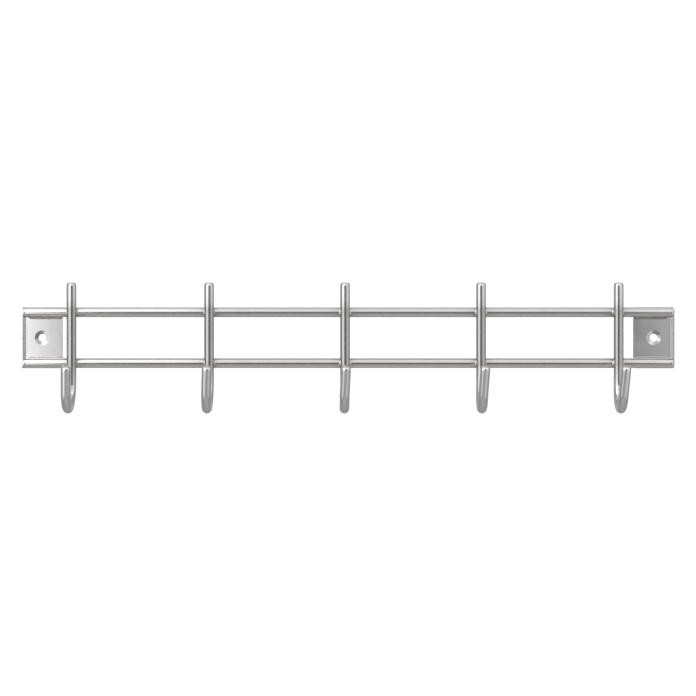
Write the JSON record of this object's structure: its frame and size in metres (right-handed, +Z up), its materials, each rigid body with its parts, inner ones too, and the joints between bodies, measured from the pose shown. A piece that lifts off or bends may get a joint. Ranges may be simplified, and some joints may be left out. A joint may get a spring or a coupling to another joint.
{
  "type": "wall hook rack",
  "caption": "Wall rack of welded round steel rods on bent sheet end brackets, with a row of upturned J hooks for hanging utensils, cloths or keys.",
  "frame": {"origin": "on the wall, midway between the two screw holes", "axes": "+X along the rack to the viewer's right, +Y into the wall, +Z up; the hooks point towards -Y"},
  "size_m": [0.4, 0.0476, 0.0797],
  "materials": {
    "rod": "satin stainless rod",
    "sheet": "satin stainless sheet",
    "weld": "polished weld metal"
  },
  "bodies": {
    "root": {"left_bracket": "sheet", "right_bracket": "sheet", "upper_rail": "rod", "lower_rail": "rod", "hook_1": "rod", "hook_2": "rod", "hook_3": "rod", "hook_4": "rod", "hook_5": "rod", "hook_1_upper_rail_weld": "weld", "hook_1_lower_rail_weld": "weld", "hook_2_upper_rail_weld": "weld", "hook_2_lower_rail_weld": "weld", "hook_3_upper_rail_weld": "weld", "hook_3_lower_rail_weld": "weld", "hook_4_upper_rail_weld": "weld", "hook_4_lower_rail_weld": "weld", "hook_5_upper_rail_weld": "weld", "hook_5_lower_rail_weld": "weld", "upper_rail_left_seam_weld": "weld", "upper_rail_right_seam_weld": "weld", "lower_rail_left_seam_weld": "weld", "lower_rail_right_seam_weld": "weld", "upper_rail_left_end_weld": "weld", "upper_rail_right_end_weld": "weld", "lower_rail_left_end_weld": "weld", "lower_rail_right_end_weld": "weld"}
  },
  "joints": []
}
